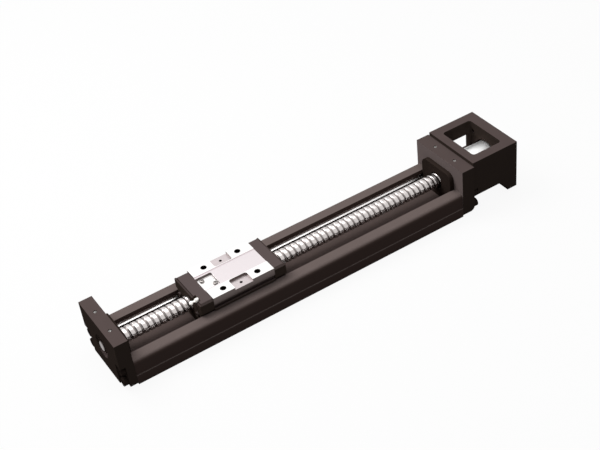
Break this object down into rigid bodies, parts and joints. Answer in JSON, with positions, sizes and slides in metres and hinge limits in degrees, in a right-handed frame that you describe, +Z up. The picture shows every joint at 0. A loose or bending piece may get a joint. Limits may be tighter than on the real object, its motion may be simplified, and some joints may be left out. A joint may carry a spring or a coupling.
{
  "type": "ball screw linear module",
  "caption": "U-shaped steel rail with a ball screw between end blocks, a nut carriage sliding in the channel, stoppers and an open bracket for a motor.",
  "frame": {"origin": "rail's bottom face, at the middle of the rail's length and width", "axes": "+X along the rail towards the motor end, +Z up through the carriage's table face, +Y to the far side"},
  "size_m": [0.3685, 0.06, 0.0475],
  "materials": {
    "rail_steel": "satin black oxide, ground on the inner running faces",
    "housing_paint": "satin black treatment",
    "ground_steel": "ground",
    "bearing_steel": "polished",
    "blackened_steel": "black oxide",
    "turned_aluminium": "fine turned",
    "black_rubber": "matte",
    "black_plastic": "fine grain",
    "nickel_plate": "nickelled"
  },
  "bodies": {
    "base": {"rail": "rail_steel", "support_housing": "housing_paint", "fixed_housing": "housing_paint", "motor_bracket": "housing_paint", "stopper_motor_end": "black_rubber", "stopper_support_end": "black_rubber", "fixed_bearing_front_outer_ring": "bearing_steel", "fixed_bearing_rear_outer_ring": "bearing_steel", "fixed_bearing_seals": "black_rubber", "support_bearing_outer_ring": "bearing_steel", "support_bearing_seals": "black_rubber", "bearing_retainer": "blackened_steel", "support_housing_screws": "blackened_steel", "fixed_housing_screws": "blackened_steel", "motor_bracket_screws": "blackened_steel"},
    "screw": {"ball_screw": "ground_steel", "fixed_bearing_front_inner_ring": "bearing_steel", "fixed_bearing_rear_inner_ring": "bearing_steel", "support_bearing_inner_ring": "bearing_steel", "bearing_spacer": "blackened_steel", "lock_nut": "blackened_steel", "shaft_clip": "blackened_steel", "shaft_coupling": "turned_aluminium"},
    "carriage": {"carriage_block": "ground_steel", "end_cap_front": "black_plastic", "end_cap_rear": "black_plastic", "end_seal_front": "black_rubber", "end_seal_rear": "black_rubber", "side_seal_near": "black_rubber", "side_seal_far": "black_rubber", "grease_nipple": "nickel_plate", "ball_return_insert": "ground_steel"}
  },
  "joints": [
    {"name": "carriage_slide", "type": "slide", "parent": "base", "child": "carriage", "axis": [1, 0, 0], "range_m": [-0.0536, 0.1567]},
    {"name": "screw_spin", "type": "hinge", "parent": "base", "child": "screw", "pos_m": [0, 0, 0.0225], "axis": [1, 0, 0], "range_deg": [-11283.4, 3860.2]}
  ],
  "couplings": [
    {"joint": "screw_spin", "follows": "carriage_slide", "rad_per_m": -1256.6}
  ]
}
